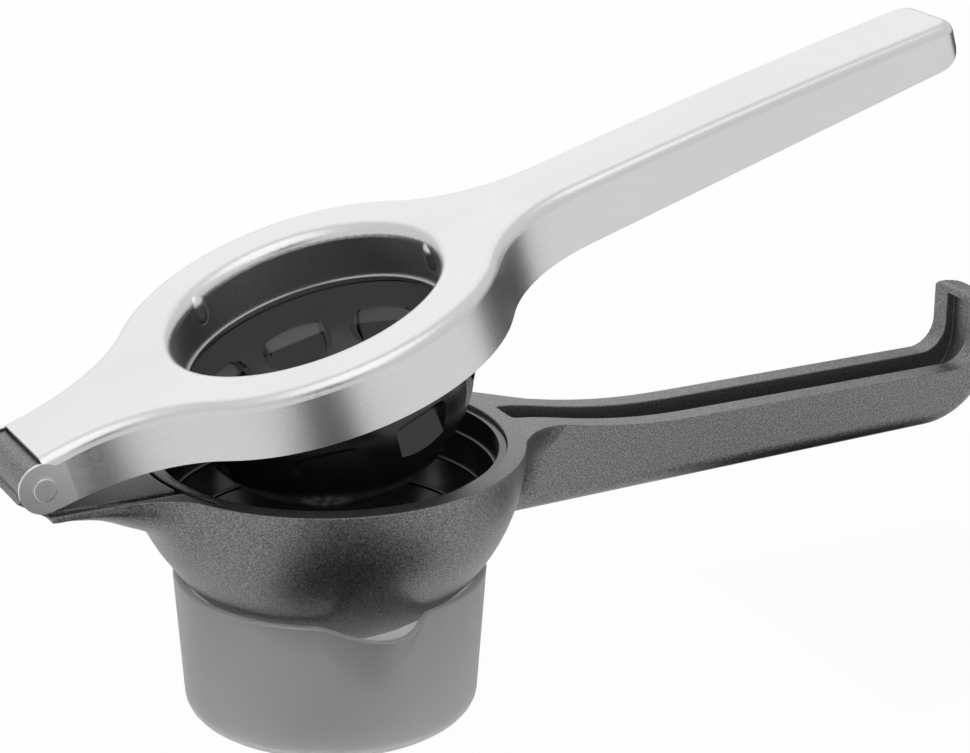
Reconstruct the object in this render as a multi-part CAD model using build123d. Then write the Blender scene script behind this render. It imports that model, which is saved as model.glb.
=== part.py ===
from build123d import *
import os
from math import cos, degrees, hypot, radians, sin, sqrt

# A lever citrus squeezer standing on its own juice cup.
# X runs from the hinge towards the handle ends, Y across the levers and Z up.
# The origin is the centre of the cup's foot. Lengths are in millimetres, angles in degrees.

# Clearances and cuts
SEAT_GAP = 0.3  # between pieces that sit in or over each other
RUN_GAP = 0.05  # radial, between the hinge pin and what turns round it
PRESS_GAP = 0.02  # radial, between the hinge bush and the barrel that grips it
OVERRUN = 6.0  # how far a cut runs past the face that it opens
MERGE = 0.4  # how far joined forms reach into each other

# Juice cup
CUP_RIM_RADIUS = 40.0
CUP_TAPER = 2.6  # how much smaller its radius is at the foot
CUP_HEIGHT = 38.2
CUP_WALL = 2.2
CUP_FLOOR = 2.4
CUP_CORNER = 5.0  # round between the wall and the foot
CUP_LIP_ROUND = 0.6
CUP_CORNER_TURNS = [0, 15, 30, 45, 60, 75, 90]  # where its outlines lie in that round
CUP_LIP_TURNS = [0, 30, 60]  # and in the lip's
CUP_BEAK_SHARES = [0, 0.1, 0.2, 0.3, 0.4, 0.5, 0.6, 0.7, 0.8, 0.9]  # and between the beak's foot and the lip
CUP_ROUND_COUNT = 48  # points in the round part of each outline
CUP_BEAK_COUNT = 32  # and in the beak
SPOUT_TURN = -97.3  # direction of the spout, seen from above
SPOUT_REACH = 10.7  # how far the tip stands out past the rim
SPOUT_DROP_SHARE = 0.52  # how far the beak runs down the wall, as a share of the cup's height
SPOUT_ANGLE = 24.0  # half its spread at the rim
SPOUT_FOOT_ANGLE = 10.0  # half its spread at its foot
SPOUT_POWER = 2.5  # how softly its flanks run out

# Bowl of the lower lever
BOWL_RADIUS = 49.9
BOWL_WALL = 4.8
DRAIN_RADIUS = 13.0  # hole in the bowl's bottom

# Strainer that lines the bowl
LINER_WALL = 1.8
LINER_STEP = 1.0  # its edge lies this far below the bowl's rim
RIDGE_PITCH = 7.6  # height between the ridges inside it
RIDGE_ROUND = 0.6
RIDGE_COUNT = 3
SLOT_COUNT = 10
SLOT_WIDTH = 2.4
SLOT_INSIDE_RADIUS = 5.5
SLOT_OUTSIDE_RADIUS = 11.5
LINER_CENTRE_HOLE = 1.6

# Hinge
NECK_LENGTH = 29.7  # from the bowl's edge back to the pin
HINGE_RISE = 6.7  # pin above the bowl's rim
PIN_RADIUS = 2.0
PIN_HEAD_RADIUS = 2.95
PIN_HEAD_HEIGHT = 0.8
PIN_HEAD_ROUND = 0.35
PIN_TAIL = 0.5  # length of the shank that the cap takes
BUSH_RADIUS = 3.2
WASHER_RADIUS = 4.4
BARREL_RADIUS = 5.7
BARREL_HALF = 12.6  # half the length of the barrel
WASHER_THICK = 0.5
STOP_TURN = 207.0  # where the barrel's shoulder stops the open lever
STOP_RADIUS = 7.2
CHIN_DROP = 8.0  # corner below the barrel
CHIN_AHEAD = 0.9
STEM_AHEAD = 5.0  # front of the web that carries the barrel

# Neck between the hinge and the bowl
NECK_SLOT = 3.0  # width of the slots beside the platform
NECK_WALL = 0.8
NECK_FLARE = 25.0
NECK_SINK = 1.0  # how far inside the bowl's surface the flare would run out
NECK_FLOOR = 0.8  # left under the slots beside the platform
NECK_SIDE = 4.0  # height of its upright sides where they run into the bowl
NECK_CROWN = 0.3  # how far the middle lies below the sides at the hinge
# Place, side and depth of the neck's sections, as shares of the way from the bowl to the hinge
NECK_SHARES = [(1, 0, 0), (0.886, 0, 0.052), (0.735, 0.03, 0.128), (0.567, 0.19, 0.235), (0.432, 0.37, 0.341),
               (0.307, 0.45, 0.427), (0.249, 0.43, 0.492), (0.196, 0.4, 0.597), (0.144, 0.35, 0.744),
               (0.092, 0.25, 0.876), (0.047, 0.1, 0.969), (0, 0, 1.024)]
PLATFORM_FLARE = 60.0  # flare of the platform between the slots
MOAT_WIDTH = 1.2  # groove between the platform and the bowl's rim
MOAT_DEPTH = 3.0
MOAT_RIM = 1.8  # width of the rim left beside it

# Handle of the lower lever
GRIP_HALF = 10.8
GRIP_FLARE = 30.0
GRIP_FLARE_DEPTH = 14.0  # height over which the flare fades out
GRIP_BLEND_SHARE = 0.25  # round between the handle and the bowl, as a share of the bowl's radius
GRIP_SHOULDER_GAP = 0.9  # from the bowl's inside to where the handle's top leaves the rim's level
GRIP_SADDLE_REACH = 62.1  # from the bowl's edge to where it levels out again
GRIP_SAG = 6.4  # how far below the rim it lies there
GRIP_SADDLE_SHARES = [(0.32, 0.47), (0.62, 0.9)]  # the way down, as shares of its length and drop
GRIP_ROOT_SHARE = 0.509  # underside below the rim, at the bowl, as a share of the bowl's radius
GRIP_TIP_DEPTH = 22.6  # underside below the rim, at the hook
GRIP_ROUND = 5.0  # lower edges
GROOVE_HALF = 5.0
GROOVE_GAP = 4.4  # from the bowl's inside to the groove
GROOVE_CORNER = 2.0
GROOVE_DEPTH = 18.0  # floor below the bowl's rim
HANDLE_LENGTH = 142.3  # from the bowl's edge to the inner face of the upturned end
HOOK_THICK = 6.8
HOOK_RISE = 12.3  # top above the bowl's rim
HOOK_CAP_ROUND = 1.6
HOOK_INNER_ROUND = 8.0
HOOK_OUTER_ROUND = 22.0
HOOK_GROOVE_DEPTH = 2.5
HOOK_CAP = 2.0  # left above the groove

# Upper lever, one steel pressing, measured with the squeezer closed
STEEL = 1.0
CLOSED_GAP = 0.4  # skirt above the bowl's rim
OPEN_ANGLE = 17.4  # how far the lever stands open at rest
RING_BAND = 15.3  # from the ring's edge in to its opening
RING_ROLL = 3.5  # round of the opening's edge
EDGE_BEND = 3.0  # round of the outer edges
TOP_TILT = 30.0  # faces that lean less than this belong to the top
PLATE_FLARE = 42.0
PLATE_GAP = 1.7  # from the pin to the plate's end
ARM_HALF = 12.0
ARM_FLARE = 38.0
ARM_ROOT_GAP = 10.1  # from the ring's edge to where its crown passes into the arm's
ARM_GAP = 0.7  # from the arm's end to the hook
ARM_CORNER = 5.0
ARM_TOE_ROUND = 8.0  # lower corner at the arm's end
PLATE_HEIGHT = 13.5  # heights of the pressing above its skirt's edge
RING_HEIGHT = 16.3
ARM_ROOT_HEIGHT = 16.5
ARM_END_HEIGHT = 11.7
WALL_DROP = 15.2  # height of the ring's inner wall
LIP_REACH = 0.6  # bead at the foot of that wall
DIMPLE_COUNT = 3
DIMPLE_ROUND = 3.4
DIMPLE_LENGTH = 3.0
DIMPLE_DEPTH = 1.0
DIMPLE_DROP = 6.1  # below the ring's top

# Press dome that clips under the ring
DOME_GAP = 4.3  # from the lining's inside to the closed dome
DOME_WALL = 2.0
COLLAR_STEP = 1.0  # collar past the dome
COLLAR_DROP = 0.8  # collar below the dome's equator
COLLAR_TOP_GAP = 3.5  # collar's edge below the ring's underside
POCKET_COUNT = 9
POCKET_TURN = 1.7
POCKET_TOP = 10.8  # ledge below the dome's equator, at the recess's floor
POCKET_SLOPE_SHARE = 0.8  # rise of the ledge towards the outside, as a share of its width
POCKET_DEPTH = 4.9  # floor inside the dome's radius
POCKET_WALL = 1.2
POCKET_FOOT = 22.0
POCKET_FOOT_HALF = 6.0
POCKET_SIDE_SHARE = 0.16  # spread of each side, as a share of the height
POCKET_ROUND = 1.6

# Webs that flare the levers into the bowl's rim
WEB_SHARES = [(0, 1), (0.33, 0.8), (0.67, 0.5), (1, 0.2)]  # depth and bend of their sections
WEB_CORE_SHARE = 0.8  # how far out they start, as a share of the bowl's inside
WEB_HALF_SHARE = 0.33  # and how far across, as a share of the lever's half width

# Places worked out from the sizes above
CUP_FOOT_RADIUS = CUP_RIM_RADIUS - CUP_TAPER
BOWL_SEAT = CUP_RIM_RADIUS - CUP_WALL
RIM_Z = CUP_HEIGHT + sqrt((BOWL_RADIUS + SEAT_GAP) ** 2 - BOWL_SEAT ** 2)
BOWL_CENTRE = Vector(0, 0, RIM_Z)
BOWL_INSIDE = BOWL_RADIUS - BOWL_WALL
GRIP_BLEND = BOWL_RADIUS * GRIP_BLEND_SHARE
GRIP_ROOT_DEPTH = BOWL_RADIUS * GRIP_ROOT_SHARE
LINER_OUTSIDE = BOWL_INSIDE - SEAT_GAP
LINER_INSIDE = LINER_OUTSIDE - LINER_WALL
DOME_RADIUS = LINER_INSIDE - DOME_GAP
HINGE_REACH = BOWL_RADIUS + NECK_LENGTH
PLATE_HALF = BARREL_HALF + WASHER_THICK + 2 * RUN_GAP + STEEL
NECK_HALF = BARREL_HALF + NECK_SLOT + NECK_WALL
PIN_X = -HINGE_REACH
PIN_Z = RIM_Z + HINGE_RISE
SKIRT_Z = RIM_Z + CLOSED_GAP
EAR_RADIUS = PIN_Z - SKIRT_Z
RING_RADIUS = BOWL_RADIUS
RING_OPENING = RING_RADIUS - RING_BAND
RING_TOP = SKIRT_Z + RING_HEIGHT
WALL_FOOT = RING_TOP - WALL_DROP
WALL_BACK = RING_OPENING + STEEL
PLATE_END = HINGE_REACH - PLATE_GAP
GRIP_SHOULDER = BOWL_INSIDE + GRIP_SHOULDER_GAP
GRIP_SADDLE = BOWL_RADIUS + GRIP_SADDLE_REACH
GROOVE_START = BOWL_INSIDE + GROOVE_GAP
HOOK_FACE = BOWL_RADIUS + HANDLE_LENGTH
HOOK_BACK = HOOK_FACE + HOOK_THICK
HOOK_TOP = RIM_Z + HOOK_RISE
SADDLE_Z = RIM_Z - GRIP_SAG
ARM_ROOT = RING_RADIUS + ARM_ROOT_GAP
ARM_END = HOOK_FACE - ARM_GAP
ALONG_Y = Vector(0, 1, 0)
SLANT = sqrt(1 / 2)


def at(x, z):
    """A point in the plane of symmetry."""
    return Vector(x, 0, z)


def slab(outline, half):
    """A solid that reaches half either side of an outline in the plane of symmetry."""
    return extrude(Face(Wire(outline)), amount=half, dir=ALONG_Y, both=True)


def polygon(points):
    """The edges of a closed polygon."""
    ends = points[1:] + points[:1]
    return [Edge.make_line(a, b) for a, b in zip(points, ends)]


def rod(radius, y_from, y_to, x=PIN_X, z=PIN_Z):
    """A cylinder along Y, on the pin's axis unless told otherwise."""
    plane = Plane(origin=(x, y_from, z), z_dir=ALONG_Y)
    return Solid.make_cylinder(radius, y_to - y_from, plane)


def column(radius, z_from, z_to):
    """A cylinder on the bowl's axis."""
    return Solid.make_cylinder(radius, z_to - z_from, Plane(origin=(0, 0, z_from)))


def ball(radius):
    """A ball about the bowl's centre."""
    return Pos(BOWL_CENTRE) * Sphere(radius)


def below(z, reach):
    """Everything under a level, as a block round the bowl's axis."""
    return Pos(0, 0, z - reach) * Box(2 * reach, 2 * reach, 2 * reach)


def flare(radius, half, bend):
    """Where an arc of radius bend leaves a circle, its middle, and where it meets the line y = half."""
    reach = sqrt((radius + bend) ** 2 - (half + bend) ** 2)
    centre = Vector(reach, half + bend)
    on_circle = centre * (radius / (radius + bend))
    on_line = Vector(reach, half)
    inward = (on_circle - centre).normalized() + (on_line - centre).normalized()
    return on_circle, centre + inward.normalized() * bend, on_line


def mirrored(point, sx=1, sy=1):
    """A point turned over to another quarter."""
    return Vector(point.X * sx, point.Y * sy, point.Z)


def steel_plan(inset, plate_end):
    """Outline of the pressing from above, drawn in by inset."""
    ring = RING_RADIUS - inset
    plate = PLATE_HALF - inset
    arm = ARM_HALF - inset
    end = ARM_END - inset
    corner = ARM_CORNER - inset
    chord = corner * (1 - SLANT)
    right = flare(ring, arm, ARM_FLARE + inset)
    left = [mirrored(p, sx=-1) for p in flare(ring, plate, PLATE_FLARE + inset)]
    edges = [Edge.make_line((end, corner - arm), (end, arm - corner)),
             Edge.make_line((-plate_end, plate), (-plate_end, -plate)),
             Edge.make_three_point_arc(right[0], (0, ring), left[0]),
             Edge.make_three_point_arc(mirrored(left[0], sy=-1), (0, -ring), mirrored(right[0], sy=-1))]
    for side in (1, -1):
        a, b, c = [mirrored(p, sy=side) for p in right]
        edges.append(Edge.make_three_point_arc(a, b, c))
        edges.append(Edge.make_line(c, (end - corner, side * arm)))
        bend = [(end - corner, side * arm), (end - chord, side * (arm - chord)), (end, side * (arm - corner))]
        edges.append(Edge.make_three_point_arc(*bend))
        a, b, c = [mirrored(p, sy=side) for p in left]
        edges.append(Edge.make_three_point_arc(a, b, c))
        edges.append(Edge.make_line(c, (-plate_end, side * plate)))
    return Face(Wire(Wire.combine(edges)[0].edges()))


def run_on(arc, point, length):
    """The place on an arc's own circle that lies length past one of its ends."""
    centre = arc.arc_center
    spoke = point - centre
    turn = degrees(length / spoke.length)
    places = [centre + spoke.rotate(Axis.Y, turn), centre + spoke.rotate(Axis.Y, -turn)]
    return max(places, key=lambda place: (place - arc.position_at(1 / 2)).length)


def steel_crown(inset):
    """The space under the pressing's crowned top, lowered by inset."""
    base = SKIRT_Z - inset
    plate = at(-PLATE_END, base + PLATE_HEIGHT)
    middle = at(0, base + RING_HEIGHT)
    root = at(ARM_ROOT, base + ARM_ROOT_HEIGHT)
    end = at(ARM_END, base + ARM_END_HEIGHT)
    crown = Edge.make_three_point_arc(plate, middle, root)
    arm = Edge.make_tangent_arc(root, crown.tangent_at(1), end)
    lead = run_on(crown, plate, 2 * OVERRUN)
    tail = run_on(arm, end, 2 * OVERRUN)
    low = SKIRT_Z - 2 * OVERRUN
    outline = [Edge.make_three_point_arc(lead, middle, root), Edge.make_three_point_arc(root, end, tail),
               Edge.make_line(tail, at(tail.X, low)), Edge.make_line(at(tail.X, low), at(lead.X, low)),
               Edge.make_line(at(lead.X, low), lead)]
    return slab(outline, RING_RADIUS + OVERRUN)


def steel_form(inset, overrun):
    """The pressing's solid envelope, drawn in by inset, with its open faces run on by overrun."""
    plan = Pos(0, 0, SKIRT_Z - overrun) * steel_plan(inset, PLATE_END + overrun)
    form = extrude(plan, amount=RING_HEIGHT + overrun + OVERRUN) & steel_crown(inset)
    tops = form.faces().filter_by(lambda face: face.normal_at().Z > cos(radians(TOP_TILT)))
    rim = [edge for edge in form.edges() if any(edge in face.edges() for face in tops)]
    front = ARM_END - ARM_CORNER
    across = [edge for edge in rim if edge.bounding_box().size.X < MERGE and edge.center().X < front]
    form = fillet([edge for edge in rim if edge not in across], EDGE_BEND - inset)
    hole = RING_OPENING + inset
    form = form - column(hole, SKIRT_Z - 2 * OVERRUN, RING_TOP + OVERRUN)
    on_hole = [edge for edge in form.edges()
               if abs(hypot(edge.start_point().X, edge.start_point().Y) - hole) < MERGE]
    level = [edge for edge in on_hole if edge.bounding_box().size.Z < RING_ROLL]
    mouth = [edge for edge in level if edge.center().Z > WALL_FOOT]
    return fillet(mouth, RING_ROLL - inset)


def dimple_form(round_radius):
    """Upright capsules at the dimples, round the ring's inner wall."""
    centre = RING_OPENING - DIMPLE_DEPTH + DIMPLE_ROUND
    forms = []
    for k in range(DIMPLE_COUNT):
        spot = Rot(0, 0, k * 360 / DIMPLE_COUNT) * Pos(centre, 0, RING_TOP - DIMPLE_DROP)
        forms.append(spot * Cylinder(round_radius, DIMPLE_LENGTH))
        forms += [spot * Pos(0, 0, side * DIMPLE_LENGTH / 2) * Sphere(round_radius) for side in (1, -1)]
    return forms


def opened(solid):
    """A piece of the upper lever, turned from closed to its rest place."""
    return Pos(PIN_X, 0, PIN_Z) * Rot(0, -OPEN_ANGLE, 0) * Pos(-PIN_X, 0, -PIN_Z) * solid


def make_steel_lever():
    """Ring, neck plate, ears and handle, pressed from one sheet."""
    shell = steel_form(0, 0) - steel_form(STEEL, OVERRUN)
    shell = shell - column(WALL_BACK + SEAT_GAP, SKIRT_Z - OVERRUN, WALL_FOOT)
    bead = column(WALL_BACK, WALL_FOOT, WALL_FOOT + STEEL)
    shell = shell + (bead - column(RING_OPENING - LIP_REACH, WALL_FOOT - OVERRUN, RING_TOP))
    toe = at(ARM_END - ARM_TOE_ROUND, SKIRT_Z + ARM_TOE_ROUND)
    corner = polygon([toe, at(ARM_END + OVERRUN, toe.Z), at(ARM_END + OVERRUN, SKIRT_Z - OVERRUN),
                      at(toe.X, SKIRT_Z - OVERRUN)])
    bend = rod(ARM_TOE_ROUND, -2 * ARM_HALF, 2 * ARM_HALF, toe.X, toe.Z)
    shell = shell - (slab(corner, ARM_HALF + OVERRUN) - bend)
    for side in (1, -1):
        outer, inner = side * PLATE_HALF, side * (PLATE_HALF - STEEL)
        shell = shell + rod(EAR_RADIUS, min(outer, inner), max(outer, inner))
    shell = shell - rod(PIN_RADIUS + PRESS_GAP, -PLATE_HALF - OVERRUN, PLATE_HALF + OVERRUN)
    inside_wall = column(WALL_BACK, WALL_FOOT, RING_TOP)
    for bump in dimple_form(DIMPLE_ROUND):
        shell = shell + (bump & inside_wall)
    for hollow in dimple_form(DIMPLE_ROUND - STEEL):
        shell = shell - hollow
    return shell


def pocket(turn, grow):
    """One recess in the dome's side, grown by grow on its floor, sides and ledge."""
    floor = DOME_RADIUS - POCKET_DEPTH - grow
    foot = RIM_Z - POCKET_FOOT - grow
    foot_half = POCKET_FOOT_HALF + grow
    top = RIM_Z - POCKET_TOP + grow * (hypot(1, POCKET_SLOPE_SHARE) - POCKET_SLOPE_SHARE)
    faces = []
    for run in (0, 2 * POCKET_DEPTH + grow):
        x = floor + run
        ledge = top + run * POCKET_SLOPE_SHARE
        top_half = foot_half + (ledge - foot) * POCKET_SIDE_SHARE
        corners = [(x, -top_half, ledge), (x, top_half, ledge), (x, foot_half, foot), (x, -foot_half, foot)]
        face = Face(Wire(polygon([Vector(*c) for c in corners])))
        faces.append(face.fillet_2d(POCKET_ROUND, face.vertices()))
    return Rot(0, 0, turn) * loft(faces, ruled=True)


def make_press_dome():
    """Hollow dome with recesses round its side and a collar that clips over the ring's inner wall."""
    collar = DOME_RADIUS + COLLAR_STEP
    collar_foot = RIM_Z - COLLAR_DROP
    collar_top = RING_TOP - STEEL - COLLAR_TOP_GAP
    bore = WALL_BACK + SEAT_GAP / 2
    inside = DOME_RADIUS - DOME_WALL
    outer = (ball(DOME_RADIUS) & below(RIM_Z, 2 * DOME_RADIUS)) + column(collar, collar_foot, collar_top)
    hollow = ball(inside) & below(RIM_Z, 2 * DOME_RADIUS)
    hollow = hollow + column(bore, RIM_Z - MERGE, collar_top + OVERRUN)
    for k in range(POCKET_COUNT):
        turn = POCKET_TURN + k * 360 / POCKET_COUNT
        outer = outer - pocket(turn, 0)
        hollow = hollow - pocket(turn, POCKET_WALL)
    dome = outer - hollow
    skirt = column(collar - COLLAR_STEP / 2, WALL_FOOT, collar_top)
    for nub in dimple_form(DIMPLE_ROUND - STEEL - SEAT_GAP):
        dome = dome + (nub & skirt)
    return dome


def neck_flare():
    """Where the neck's side leaves the bowl, the flare's middle, and where it turns straight."""
    return flare(BOWL_RADIUS - NECK_SINK, NECK_HALF, NECK_FLARE)


def neck_sections():
    """Place, half width, side height and middle depth of the neck's sections, from the chin inwards."""
    inner, middle, straight = neck_flare()
    chin = HINGE_REACH - CHIN_AHEAD
    lip = CHIN_DROP - HINGE_RISE
    depth = inner.Y - lip - NECK_CROWN
    sections = []
    for along, rise, down in NECK_SHARES:
        x = inner.X + (chin - inner.X) * along
        run = max(0, straight.X - x)
        half = NECK_HALF + NECK_FLARE - sqrt(NECK_FLARE ** 2 - run ** 2)
        sections.append((x, half, lip + (NECK_SIDE - lip) * rise, lip + NECK_CROWN + depth * down))
    return sections


def neck_block():
    """Neck between the barrel and the bowl: upright sides over a round hull, flaring into the bowl."""
    faces = []
    for x, half, side, depth in neck_sections():
        corners = [Vector(-x, -half, RIM_Z), Vector(-x, half, RIM_Z)]
        feet = [corner - Vector(0, 0, side) for corner in corners]
        plane = Plane(origin=(-x, 0, RIM_Z - side), x_dir=ALONG_Y, z_dir=(1, 0, 0))
        hull = Edge.make_ellipse(half, depth - side, plane, start_angle=180, end_angle=360)
        edges = [Edge.make_line(*corners), Edge.make_line(corners[1], feet[1]), hull,
                 Edge.make_line(feet[0], corners[0])]
        faces.append(Face(Wire(edges)))
    return loft(faces)


def flared_plan(radius, half, bend):
    """Disc and straight neck with an arc of radius bend between them, seen from above."""
    chin = HINGE_REACH + OVERRUN
    edges = [Edge.make_line((-chin, half), (-chin, -half))]
    a, b, c = [mirrored(p, sx=-1) for p in flare(radius, half, bend)]
    edges.append(Edge.make_three_point_arc(a, (radius, 0), mirrored(a, sy=-1)))
    for side in (1, -1):
        edges.append(Edge.make_three_point_arc(*[mirrored(p, sy=side) for p in (a, b, c)]))
        edges.append(Edge.make_line(mirrored(c, sy=side), (-chin, side * half)))
    return Face(Wire(Wire.combine(edges)[0].edges()))


def neck_slots():
    """Slots either side of the platform, and the moat between it and the bowl's rim."""
    floor = [at(-x, RIM_Z - side + NECK_FLOOR) for x, half, side, depth in neck_sections()]
    floor[0] = at(floor[0].X - OVERRUN, floor[0].Z)
    top = [at(floor[-1].X, RIM_Z + OVERRUN), at(floor[0].X, RIM_Z + OVERRUN)]
    trench = slab(polygon(floor + top), NECK_HALF - NECK_WALL) - slab(polygon(floor + top), BARREL_HALF)
    rim = BOWL_INSIDE + MOAT_RIM
    moat_floor = RIM_Z - MOAT_DEPTH
    height = MOAT_DEPTH + OVERRUN
    bowl = BOWL_RADIUS - NECK_SINK
    walls = flared_plan(bowl - NECK_WALL, NECK_HALF - NECK_WALL, NECK_FLARE + NECK_WALL)
    platform = flared_plan(rim + MOAT_WIDTH, BARREL_HALF, PLATFORM_FLARE)
    trough = extrude(Pos(0, 0, moat_floor) * walls, amount=height, dir=(0, 0, 1))
    island = extrude(Pos(0, 0, moat_floor) * platform, amount=height, dir=(0, 0, 1))
    island = island - column(rim + MOAT_WIDTH, 0, PIN_Z + OVERRUN)
    inner, middle, straight = neck_flare()
    length = straight.X - inner.X
    flared = Pos(-inner.X - length / 2, 0, RIM_Z) * Box(length, 2 * BOWL_RADIUS, 2 * height)
    trough = (trough & flared) - island - column(rim, 0, PIN_Z + OVERRUN)
    return [trench - column(rim, 0, PIN_Z), trough]


def barrel():
    """Barrel round the pin, with the web that carries it and the shoulder that stops the lever."""
    turn = radians(STOP_TURN)
    shoulder = at(PIN_X + STOP_RADIUS * cos(turn), PIN_Z + STOP_RADIUS * sin(turn))
    chin = at(PIN_X + CHIN_AHEAD, PIN_Z - CHIN_DROP)
    front = PIN_X + STEM_AHEAD
    web = polygon([at(PIN_X, PIN_Z), shoulder, chin, at(front, chin.Z), at(front, PIN_Z - STEM_AHEAD / 2)])
    return slab(web, BARREL_HALF) + rod(BARREL_RADIUS, -BARREL_HALF, BARREL_HALF)


def handle_webs():
    """Pair of webs that flare the handle's sides into the bowl's rim and fade out below it."""
    webs = []
    for side in (1, -1):
        sections = []
        for down, fade in WEB_SHARES:
            drop = GRIP_FLARE_DEPTH * down
            circle = sqrt(BOWL_RADIUS ** 2 - drop ** 2) - MERGE
            a, b, c = [mirrored(p, sy=side) for p in flare(circle, GRIP_HALF - MERGE, GRIP_FLARE * fade)]
            core = Vector(BOWL_INSIDE * WEB_CORE_SHARE, side * GRIP_HALF * WEB_HALF_SHARE)
            lift = Vector(0, 0, RIM_Z - drop)
            curve = Edge.make_three_point_arc(a + lift, b + lift, c + lift)
            sides = [Edge.make_line(c + lift, core + lift), Edge.make_line(core + lift, a + lift)]
            sections.append(Face(Wire([curve, *sides])))
        webs.append(loft(sections))
    return webs


def blended(body, radius):
    """Rounds the joint where the handle runs out of the bowl's ball."""
    joint = []
    for edge in body.edges():
        middle = edge.position_at(1 / 2)
        reach = [(edge.position_at(t) - BOWL_CENTRE).length for t in (0, 1 / 2, 1)]
        on_ball = all(abs(length - BOWL_RADIUS) < MERGE for length in reach)
        seam = abs(middle.Y) < MERGE and edge.bounding_box().size.Y < MERGE
        if on_ball and not seam and middle.Z < RIM_Z - MERGE and middle.X > 0:
            joint.append(edge)
    return fillet(joint, radius)


def handle_outline():
    """Side view of the lower handle and its hook, from inside the bowl's wall out and back."""
    start = at(BOWL_INSIDE * WEB_CORE_SHARE, RIM_Z)
    shoulder = at(GRIP_SHOULDER, RIM_Z)
    saddle = at(GRIP_SADDLE, SADDLE_Z)
    way = [at(shoulder.X + (saddle.X - shoulder.X) * along, shoulder.Z + (saddle.Z - shoulder.Z) * down)
           for along, down in GRIP_SADDLE_SHARES]
    inner = HOOK_INNER_ROUND
    foot = at(HOOK_FACE - inner, SADDLE_Z)
    turn = at(foot.X + inner * SLANT, SADDLE_Z + inner - inner * SLANT)
    face = at(HOOK_FACE, SADDLE_Z + inner)
    heel = RIM_Z - GRIP_TIP_DEPTH
    outer = HOOK_OUTER_ROUND
    back = at(HOOK_BACK, heel + outer)
    middle = at(HOOK_BACK - outer + outer * SLANT, heel + outer - outer * SLANT)
    low = at(HOOK_BACK - outer, heel)
    root = at(start.X, RIM_Z - GRIP_ROOT_DEPTH)
    level = Vector(1, 0, 0)
    cap = [at(HOOK_FACE, HOOK_TOP), at(HOOK_BACK, HOOK_TOP)]
    return [Edge.make_line(start, shoulder),
            Edge.make_spline([shoulder, *way, saddle], tangents=[level, level]),
            Edge.make_line(saddle, foot), Edge.make_three_point_arc(foot, turn, face),
            Edge.make_line(face, cap[0]), Edge.make_line(*cap), Edge.make_line(cap[1], back),
            Edge.make_three_point_arc(back, middle, low), Edge.make_line(low, root),
            Edge.make_line(root, start)]


def handle_block():
    """Lower handle and hook, with rounded lower edges and cap."""
    block = slab(handle_outline(), GRIP_HALF)
    sides = [edge for edge in block.edges() if abs(edge.center().Y) > GRIP_HALF - MERGE]
    under = RIM_Z - GRIP_SAG - HOOK_INNER_ROUND
    low = [edge for edge in sides if edge.center().Z < under and edge.center().X > BOWL_RADIUS]
    back = [edge for edge in sides if edge.bounding_box().min.X > HOOK_BACK - MERGE]
    block = fillet(low + back, GRIP_ROUND)
    return fillet(block.faces().sort_by(Axis.Z)[-1].edges(), HOOK_CAP_ROUND)


def handle_groove():
    """Long groove in the handle's top that turns up into the hook."""
    floor = RIM_Z - GROOVE_DEPTH
    end = HOOK_FACE + HOOK_GROOVE_DEPTH
    bend = HOOK_OUTER_ROUND - (HOOK_THICK - HOOK_GROOVE_DEPTH)
    slant = bend * (1 - SLANT)
    top = HOOK_TOP - HOOK_CAP
    inner = HOOK_FACE - HOOK_INNER_ROUND
    turned = [at(GROOVE_START, floor), at(end - bend, floor), at(end - slant, floor + slant),
              at(end, floor + bend), at(end, top), at(inner, top), at(inner, RIM_Z + OVERRUN),
              at(GROOVE_START, RIM_Z + OVERRUN)]
    edges = polygon(turned)
    edges[1:3] = [Edge.make_three_point_arc(turned[1], turned[2], turned[3])]
    groove = slab(edges, GROOVE_HALF)
    return fillet(groove.edges().filter_by(Axis.Z).group_by(Axis.X)[0], GROOVE_CORNER)


def make_bowl_lever():
    """Lower lever: bowl, neck with the hinge barrel, handle and hook in one moulding."""
    body = ball(BOWL_RADIUS) & below(RIM_Z, 2 * BOWL_RADIUS)
    under_handle = slab(handle_outline(), BOWL_RADIUS)
    body = blended(body + handle_block(), GRIP_BLEND) + neck_block()
    for web in handle_webs():
        body = body + (web & under_handle)
    body = body + barrel() - ball(BOWL_INSIDE) - column(BOWL_INSIDE, RIM_Z, PIN_Z)
    body = body - column(DRAIN_RADIUS, 0, RIM_Z) - handle_groove()
    for cut in neck_slots():
        body = body - cut
    return body - rod(BUSH_RADIUS + PRESS_GAP, -BARREL_HALF - OVERRUN, BARREL_HALF + OVERRUN)


def make_strainer():
    """Lining of the bowl, with ridges that hold the fruit and slots that let the juice through."""
    liner = (ball(LINER_OUTSIDE) - ball(LINER_INSIDE)) & below(RIM_Z - LINER_STEP, 2 * BOWL_RADIUS)
    for k in range(RIDGE_COUNT):
        drop = RIDGE_PITCH * (k + 1)
        liner = liner + Pos(0, 0, RIM_Z - drop) * Torus(sqrt(LINER_INSIDE ** 2 - drop ** 2), RIDGE_ROUND)
    length = SLOT_OUTSIDE_RADIUS - SLOT_INSIDE_RADIUS
    middle = (SLOT_OUTSIDE_RADIUS + SLOT_INSIDE_RADIUS) / 2
    for k in range(SLOT_COUNT):
        spot = Rot(0, 0, k * 360 / SLOT_COUNT) * Pos(middle, 0, RIM_Z - LINER_OUTSIDE)
        liner = liner - spot * Box(length, SLOT_WIDTH, 2 * SLOT_OUTSIDE_RADIUS)
    return liner - column(LINER_CENTRE_HOLE, 0, RIM_Z)


def cup_radius(z):
    """Outside radius of the cup's wall at a height."""
    return CUP_FOOT_RADIUS + CUP_TAPER * z / CUP_HEIGHT


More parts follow.
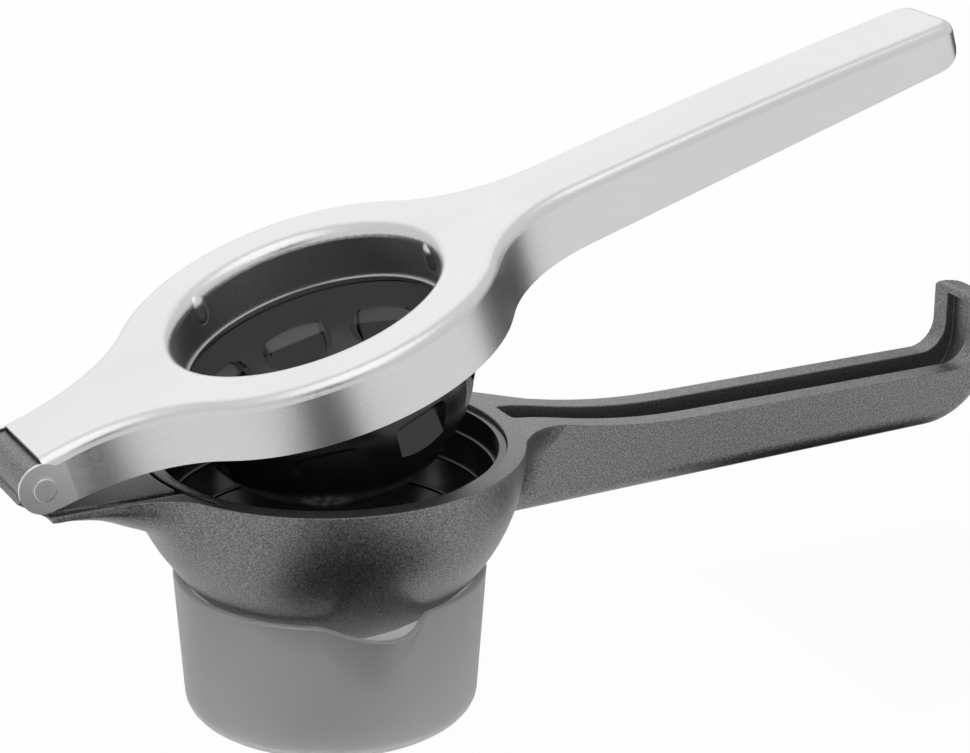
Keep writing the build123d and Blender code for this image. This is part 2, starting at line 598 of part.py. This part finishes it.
def cup_outline(z, inset):
    """Outline of the cup at a height, drawn in by inset: a circle that swells out into the beak."""
    rise = max(0, 1 - (1 - z / CUP_HEIGHT) / SPOUT_DROP_SHARE)
    half = SPOUT_FOOT_ANGLE + (SPOUT_ANGLE - SPOUT_FOOT_ANGLE) * rise
    reach = SPOUT_REACH * (2 * rise ** 2 - rise ** 3)
    turns = [SPOUT_ANGLE * (2 * k / CUP_BEAK_COUNT - 1) for k in range(CUP_BEAK_COUNT)]
    turns += [SPOUT_ANGLE + (360 - 2 * SPOUT_ANGLE) * k / CUP_ROUND_COUNT for k in range(CUP_ROUND_COUNT)]
    points = []
    for turn in turns:
        aside = min(1, abs(turn) / half)
        radius = cup_radius(z) - inset + reach * (1 - aside ** 2) ** SPOUT_POWER
        points.append(Vector(radius * cos(radians(turn)), radius * sin(radians(turn)), z))
    return Face(Wire([Edge.make_spline(points, periodic=True)]))


def cup_form(floor, inset, corner, way):
    """The cup's outside (way 1) or inside (way -1) as a solid: rounded foot, wall and rounded lip."""
    beak_foot = CUP_HEIGHT * (1 - SPOUT_DROP_SHARE)
    lip_foot = CUP_HEIGHT - CUP_LIP_ROUND
    levels = []
    for turn in CUP_CORNER_TURNS:
        levels.append((floor + corner * (1 - cos(radians(turn))), inset + corner * (1 - sin(radians(turn)))))
    levels += [(beak_foot + (lip_foot - beak_foot) * share, inset) for share in CUP_BEAK_SHARES]
    for turn in CUP_LIP_TURNS:
        drawn_in = way * CUP_LIP_ROUND * (1 - cos(radians(turn)))
        levels.append((lip_foot + CUP_LIP_ROUND * sin(radians(turn)), inset + drawn_in))
    top = CUP_HEIGHT if way > 0 else 2 * CUP_HEIGHT - levels[-1][0]
    levels.append((top, inset + (top - lip_foot) * way))
    return loft([cup_outline(z, drawn_in) for z, drawn_in in levels], ruled=True)


def make_juice_cup():
    """Cup that stands under the bowl, with a pouring beak."""
    inside = cup_form(CUP_FLOOR, CUP_WALL, CUP_CORNER - CUP_WALL, -1)
    return Rot(0, 0, SPOUT_TURN) * (cup_form(0, 0, CUP_CORNER, 1) - inside)


def make_hinge_pin():
    """Rivet through both ears, with its head on the near side."""
    near = -PLATE_HALF
    head = rod(PIN_HEAD_RADIUS, near - PIN_HEAD_HEIGHT, near)
    face = head.edges().sort_by(Axis.Y)[0]
    return fillet(face, PIN_HEAD_ROUND) + rod(PIN_RADIUS, near, PLATE_HALF + PIN_TAIL)


def make_pin_cap():
    """Cap pressed over the rivet's far end."""
    head = rod(PIN_HEAD_RADIUS, PLATE_HALF, PLATE_HALF + PIN_HEAD_HEIGHT + PIN_TAIL)
    cap = fillet(head.edges().sort_by(Axis.Y)[-1], PIN_HEAD_ROUND)
    return cap - rod(PIN_RADIUS + PRESS_GAP, PLATE_HALF - OVERRUN, PLATE_HALF + PIN_TAIL)


def make_hinge_bush():
    """Sleeve that lines the barrel's bore."""
    sleeve = rod(BUSH_RADIUS, -BARREL_HALF, BARREL_HALF)
    return sleeve - rod(PIN_RADIUS + RUN_GAP, -2 * BARREL_HALF, 2 * BARREL_HALF)


def make_washer(side):
    """Thin washer between the barrel's end and an ear."""
    near = side * (BARREL_HALF + RUN_GAP)
    far = near + side * WASHER_THICK
    washer = rod(WASHER_RADIUS, min(near, far), max(near, far))
    return washer - rod(PIN_RADIUS + RUN_GAP, -2 * BARREL_HALF, 2 * BARREL_HALF)


def main():
    """Makes each piece and writes it under its own name."""
    pieces = {
        "steel_lever": opened(make_steel_lever()),
        "press_dome": opened(make_press_dome()),
        "bowl_lever": make_bowl_lever(),
        "strainer_liner": make_strainer(),
        "hinge_pin": opened(make_hinge_pin()),
        "hinge_pin_cap": opened(make_pin_cap()),
        "hinge_bush": make_hinge_bush(),
        "near_washer": make_washer(-1),
        "far_washer": make_washer(1),
        "juice_cup": make_juice_cup(),
    }
    os.makedirs("parts", exist_ok=True)
    for name, piece in pieces.items():
        export_step(piece, f"parts/{name}.step")


main()
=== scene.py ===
import bpy
from math import cos, pi, radians, sin
from mathutils import Matrix, Vector

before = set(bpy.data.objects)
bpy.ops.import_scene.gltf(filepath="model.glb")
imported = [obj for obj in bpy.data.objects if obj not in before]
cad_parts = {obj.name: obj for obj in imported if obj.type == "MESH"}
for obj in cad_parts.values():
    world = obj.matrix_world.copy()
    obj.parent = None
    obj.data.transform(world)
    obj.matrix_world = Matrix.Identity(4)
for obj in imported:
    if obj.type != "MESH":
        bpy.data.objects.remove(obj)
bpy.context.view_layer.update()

# Camera, fitted to the photograph's edges: lengths in metres, angles in degrees
CAMERA_PLACE = Vector((-0.28923, -0.64242, 0.34369))
CAMERA_AZIMUTH = -27.43
CAMERA_ELEVATION = 19.89
CAMERA_ROLL = -0.41
CAMERA_CLIP = 0.01  # nothing nearer is drawn
IMAGE_WIDTH = 970
FOCAL_PIXELS = 3000
SENSOR_MM = 36

# Studio: lengths in metres, brightness 1 for white
FLOOR_HALF = 6.0
FLOOR_COLOUR = (0.9, 0.9, 0.9)  # as seen
FLOOR_BOUNCE = (0.35, 0.35, 0.35)  # as it lights the part
BACKGROUND_COLOUR = (1, 1, 1)
BACKGROUND_SHARE = 0.97  # how much of the floor that is seen is this plain white
MATT_ROUGHNESS = 0.9  # floor and cards
WORLD_LEVEL = 0.55  # light from all round
SEEN_LEVELS = {  # the world as clear plastic, mirrors and the camera show it
    "Is Transmission Ray": 1.0,
    "Is Glossy Ray": 0.85,
    "Is Camera Ray": 1.0,
}
LAMP_TARGET = Vector((0.05, 0, 0.08))
LAMPS = {  # place, side and brightness
    "lamp_back": ((0.34, 1.67, 1.14), 2.0, 0.4),
    "lamp_top": ((-0.35, -0.55, 1.5), 1.6, 0.65),
}

# Dark cards: the direction that each lies in, in degrees as the camera's azimuth, its middle and half
# width across that direction, then the distance and height of one edge and of the other, in metres
# The cards that lie on the floor are painted shade: dark sheets where the part's shade falls on the floor,
# which the part mirrors
SHADE_CARD_COLOUR = (0.02, 0.02, 0.02)
FLAG_LIFT = 0.002  # keeps a low edge clear of the floor
SHADE_CARDS = {
    # Painted shade on the floor in front, which keeps the bowl's front dark
    "painted_shade_apron": (CAMERA_AZIMUTH, 0.03, 0.06, (0.045, FLAG_LIFT), (0.15, FLAG_LIFT)),
    # Dark bands on the steel: in front from painted shade on the floor, at the right from a standing card
    "painted_shade_band": (-17, 0, 0.046, (0.15, FLAG_LIFT), (0.47, FLAG_LIFT)),
    "flag_side": (108, 0, 0.22, (0.42, FLAG_LIFT), (0.42, 0.16)),
    # Painted shade on the floor under the handle, which darkens its lower edge
    "painted_shade_under": (0, 0.172, 0.045, (-0.03, FLAG_LIFT), (0.075, FLAG_LIFT)),
    # Stands behind the camera and darkens what faces it
    "flag_camera": (CAMERA_AZIMUTH, 0, 0.2, (0.9, 0.25), (0.9, 0.6)),
}

# Surfaces: depths in metres, and a stray is how far the roughness goes below and above its value
NOISE_DETAIL = 3.0
NOISE_ROUGHNESS = 0.55
NOISE_SPAN = (0.3, 0.7)  # where most of a noise texture's values lie
BRUSH_STRETCH = (12, 900, 900)  # draws the brush marks out along X
BRUSH_SCALE = 4.0
BRUSH_STRENGTH = 0.05
BRUSH_DEPTH = 0.00002
STEEL_CLOUD_SCALE = 30.0
STEEL_STRAY = (-0.04, 0.06)
STEEL_ANISOTROPY = 0.3
GRAIN_DETAIL = 2.0
GRAIN_ROUGHNESS = 0.7
GRAIN_SPAN = (0.36, 0.72)  # from the dark ground to a full pale speckle
GRAIN_STRENGTH = 0.5
GRAIN_DEPTH = 0.00015
GRAIN_STRAY = (-0.08, 0.08)
EDGE_ROUND = 0.0006  # how far moulded edges catch the light
EDGE_SAMPLES = 6
CLEAR_CLOUD_SCALE = 60.0
CLEAR_STRAY = (-0.03, 0.05)
CLEAR_IOR = 1.5


def new_material(name):
    """A new material, its node tree and its main shader."""
    material = bpy.data.materials.new(name)
    material.use_nodes = True
    tree = material.node_tree
    return material, tree, tree.nodes["Principled BSDF"]


def set_up(tree, node, values, sources):
    """Puts values on a node's sockets and links sources to others."""
    for socket, value in values.items():
        node.inputs[socket].default_value = value
    for socket, source in sources.items():
        tree.links.new(source, node.inputs[socket])


def object_coordinates(tree, scale=(1, 1, 1)):
    """Coordinates in the object's own frame, stretched by scale."""
    coordinates = tree.nodes.new("ShaderNodeTexCoord")
    mapping = tree.nodes.new("ShaderNodeMapping")
    set_up(tree, mapping, {"Scale": scale}, {"Vector": coordinates.outputs["Object"]})
    return mapping.outputs["Vector"]


def noise(tree, vector, scale, detail=NOISE_DETAIL, roughness=NOISE_ROUGHNESS):
    """The value of a noise texture."""
    texture = tree.nodes.new("ShaderNodeTexNoise")
    values = {"Scale": scale, "Detail": detail, "Roughness": roughness}
    set_up(tree, texture, values, {"Vector": vector})
    return texture.outputs["Fac"]


def spread(tree, value, limits, span=NOISE_SPAN):
    """Goes from one limit to the other as a value goes through a span."""
    node = tree.nodes.new("ShaderNodeMapRange")
    values = {"From Min": span[0], "From Max": span[1], "To Min": limits[0], "To Max": limits[1]}
    set_up(tree, node, values, {"Value": value})
    return node.outputs["Result"]


def uneven(tree, value, rough, stray):
    """A roughness that strays as a texture does."""
    return spread(tree, value, (rough + stray[0], rough + stray[1]))


def tint(tree, value, dark, light):
    """A colour that goes from dark to light as a value goes from 0 to 1."""
    mix = tree.nodes.new("ShaderNodeMix")
    mix.data_type = "RGBA"
    set_up(tree, mix, {"A": (*dark, 1), "B": (*light, 1)}, {"Factor": value})
    return mix.outputs["Result"]


def bump(tree, value, strength, depth, edge=0.0):
    """A surface normal that follows a texture and, where edge isn't 0, rounds off edges."""
    node = tree.nodes.new("ShaderNodeBump")
    set_up(tree, node, {"Strength": strength, "Distance": depth}, {"Height": value})
    if edge:
        rounding = tree.nodes.new("ShaderNodeBevel")
        rounding.samples = EDGE_SAMPLES
        rounding.inputs["Radius"].default_value = edge
        tree.links.new(rounding.outputs["Normal"], node.inputs["Normal"])
    return node.outputs["Normal"]


def mix_shaders(tree, share, first, second):
    """The first shader where share is 0, the second where it is 1."""
    mix = tree.nodes.new("ShaderNodeMixShader")
    set_up(tree, mix, {}, {"Fac": share, 1: first, 2: second})
    return mix.outputs["Shader"]


def brushed_steel(name, dark, light, rough):
    """Satin steel with fine brush marks."""
    material, tree, shader = new_material(name)
    fine = noise(tree, object_coordinates(tree, BRUSH_STRETCH), BRUSH_SCALE)
    broad = noise(tree, object_coordinates(tree), STEEL_CLOUD_SCALE)
    set_up(tree, shader, {"Metallic": 1.0, "Anisotropic": STEEL_ANISOTROPY}, {
        "Base Color": tint(tree, broad, dark, light),
        "Roughness": uneven(tree, fine, rough, STEEL_STRAY),
        "Normal": bump(tree, fine, BRUSH_STRENGTH, BRUSH_DEPTH),
    })
    return material


def moulded_plastic(name, dark, light, rough, metallic, grain):
    """Matt plastic with a fine pale speckle; grain is how fine."""
    material, tree, shader = new_material(name)
    fine = noise(tree, object_coordinates(tree), grain, GRAIN_DETAIL, GRAIN_ROUGHNESS)
    speckle = spread(tree, fine, (0.0, 1.0), GRAIN_SPAN)
    set_up(tree, shader, {"Metallic": metallic}, {
        "Base Color": tint(tree, speckle, dark, light),
        "Roughness": uneven(tree, fine, rough, GRAIN_STRAY),
        "Normal": bump(tree, fine, GRAIN_STRENGTH, GRAIN_DEPTH, EDGE_ROUND),
    })
    return material


def clear_plastic(name, dark, light, rough, clear, gloss=0.5):
    """Smooth plastic; clear is 0 for a solid colour and 1 for see-through."""
    material, tree, shader = new_material(name)
    broad = noise(tree, object_coordinates(tree), CLEAR_CLOUD_SCALE)
    values = {"Transmission Weight": clear, "IOR": CLEAR_IOR, "Specular IOR Level": gloss}
    set_up(tree, shader, values, {
        "Base Color": tint(tree, broad, dark, light),
        "Roughness": uneven(tree, broad, rough, CLEAR_STRAY),
    })
    return material


def paint(material, *nodes):
    """Gives CAD nodes one material."""
    for node in nodes:
        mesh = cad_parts[node].data
        mesh.materials.clear()
        mesh.materials.append(material)


def add_materials():
    """Each finish, and the nodes that have it."""
    steel = brushed_steel("brushed_steel", dark=(0.63, 0.63, 0.625), light=(0.69, 0.69, 0.685), rough=0.31)
    pin = brushed_steel("pin_steel", dark=(0.54, 0.54, 0.54), light=(0.62, 0.62, 0.62), rough=0.36)
    grey = moulded_plastic(
        "grey_moulding", dark=(0.095, 0.095, 0.098), light=(0.37, 0.37, 0.375),
        rough=0.40, metallic=0.9, grain=2400.0)
    black = moulded_plastic(
        "bush_plastic", dark=(0.02, 0.02, 0.02), light=(0.03, 0.03, 0.03),
        rough=0.4, metallic=0.0, grain=2600.0)
    smoke = clear_plastic(
        "smoked_plastic", dark=(0.05, 0.049, 0.05), light=(0.07, 0.068, 0.07),
        rough=0.22, clear=0.85, gloss=0.3)
    liner = clear_plastic(
        "liner_plastic", dark=(0.030, 0.029, 0.028), light=(0.042, 0.041, 0.040),
        rough=0.16, clear=0.0)
    frost = clear_plastic(
        "frosted_cup", dark=(0.74, 0.74, 0.745), light=(0.78, 0.78, 0.785),
        rough=0.45, clear=0.65)
    paint(steel, "steel_lever")
    paint(pin, "hinge_pin", "hinge_pin_cap", "near_washer", "far_washer")
    paint(grey, "bowl_lever")
    paint(black, "hinge_bush")
    paint(smoke, "press_dome")
    paint(liner, "strainer_liner")
    paint(frost, "juice_cup")


def add_camera():
    """The photograph's view."""
    az, el, roll = (radians(angle) for angle in (CAMERA_AZIMUTH, CAMERA_ELEVATION, CAMERA_ROLL))
    back = Vector((sin(az) * cos(el), -cos(az) * cos(el), sin(el)))
    right = Vector((cos(az), sin(az), 0))
    up = back.cross(right)
    across = right * cos(roll) - up * sin(roll)
    above = right * sin(roll) + up * cos(roll)
    data = bpy.data.cameras.new("camera")
    data.sensor_width = SENSOR_MM
    data.lens = FOCAL_PIXELS / IMAGE_WIDTH * SENSOR_MM
    data.clip_start = CAMERA_CLIP
    camera = bpy.data.objects.new("camera", data)
    turn = Matrix((across, above, back)).transposed().to_4x4()
    camera.matrix_world = Matrix.Translation(CAMERA_PLACE) @ turn
    bpy.context.scene.collection.objects.link(camera)
    bpy.context.scene.camera = camera


def seen_rays(tree, path):
    """1 for rays that show the background: camera, mirror and glass rays."""
    seen = path.outputs["Is Camera Ray"]
    for kind in ("Is Glossy Ray", "Is Transmission Ray"):
        either = tree.nodes.new("ShaderNodeMath")
        either.operation = "MAXIMUM"
        set_up(tree, either, {}, {0: seen, 1: path.outputs[kind]})
        seen = either.outputs["Value"]
    return seen


def add_floor():
    """Plain pale floor that keeps a faint, soft shadow."""
    bpy.ops.mesh.primitive_plane_add(size=2 * FLOOR_HALF)
    floor = bpy.context.object
    floor.name = "floor"
    material, tree, shader = new_material("floor")
    path = tree.nodes.new("ShaderNodeLightPath")
    colour = tint(tree, path.outputs["Is Camera Ray"], FLOOR_BOUNCE, FLOOR_COLOUR)
    set_up(tree, shader, {"Roughness": MATT_ROUGHNESS}, {"Base Color": colour})
    glow = tree.nodes.new("ShaderNodeEmission")
    glow.inputs["Color"].default_value = (*BACKGROUND_COLOUR, 1)
    share = tree.nodes.new("ShaderNodeMath")
    share.operation = "MULTIPLY"
    set_up(tree, share, {1: BACKGROUND_SHARE}, {0: seen_rays(tree, path)})
    surface = mix_shaders(tree, share.outputs["Value"], shader.outputs["BSDF"], glow.outputs["Emission"])
    tree.links.new(surface, tree.nodes["Material Output"].inputs["Surface"])
    floor.data.materials.append(material)


def add_shade_cards():
    """Dark cards round the part that shape what it mirrors; the camera doesn't see them. Those that lie on
    the floor are painted shade where the part's shade falls.
    """
    material, tree, shader = new_material("shade_card")
    # Dark colour of the cards; on the lying cards it is painted shade
    set_up(tree, shader, {"Base Color": (*SHADE_CARD_COLOUR, 1), "Roughness": MATT_ROUGHNESS}, {})
    for name, (turn, middle, half, (near, low), (far, high)) in SHADE_CARDS.items():
        left, right = middle - half, middle + half
        corners = [(left, -near, low), (right, -near, low), (right, -far, high), (left, -far, high)]
        mesh = bpy.data.meshes.new(name)
        mesh.from_pydata(corners, [], [(0, 1, 2, 3)])
        mesh.materials.append(material)
        shade_card = bpy.data.objects.new(name, mesh)
        shade_card.rotation_euler = (0, 0, radians(turn))
        shade_card.visible_camera = False
        shade_card.visible_shadow = False
        bpy.context.scene.collection.objects.link(shade_card)


def add_world():
    """Light from all round, with a level of its own for each kind of ray that shows it."""
    world = bpy.data.worlds.new("studio")
    bpy.context.scene.world = world
    world.use_nodes = True
    tree = world.node_tree
    path = tree.nodes.new("ShaderNodeLightPath")
    base = tree.nodes["Background"]
    base.inputs["Color"].default_value = (WORLD_LEVEL, WORLD_LEVEL, WORLD_LEVEL, 1)
    light = base.outputs["Background"]
    for kind, level in SEEN_LEVELS.items():
        seen = tree.nodes.new("ShaderNodeBackground")
        seen.inputs["Color"].default_value = (level, level, level, 1)
        light = mix_shaders(tree, path.outputs[kind], light, seen.outputs["Background"])
    tree.links.new(light, tree.nodes["World Output"].inputs["Surface"])


def add_lamps():
    """Soft square lamps that face the part."""
    for name, (place, side, level) in LAMPS.items():
        data = bpy.data.lights.new(name, "AREA")
        data.shape = "SQUARE"
        data.size = side
        data.energy = level * pi * side ** 2
        lamp = bpy.data.objects.new(name, data)
        lamp.location = place
        lamp.rotation_euler = (LAMP_TARGET - Vector(place)).to_track_quat("-Z", "Y").to_euler()
        bpy.context.scene.collection.objects.link(lamp)


add_materials()
add_floor()
add_shade_cards()
add_world()
add_lamps()
add_camera()
bpy.context.scene.view_settings.view_transform = "Standard"
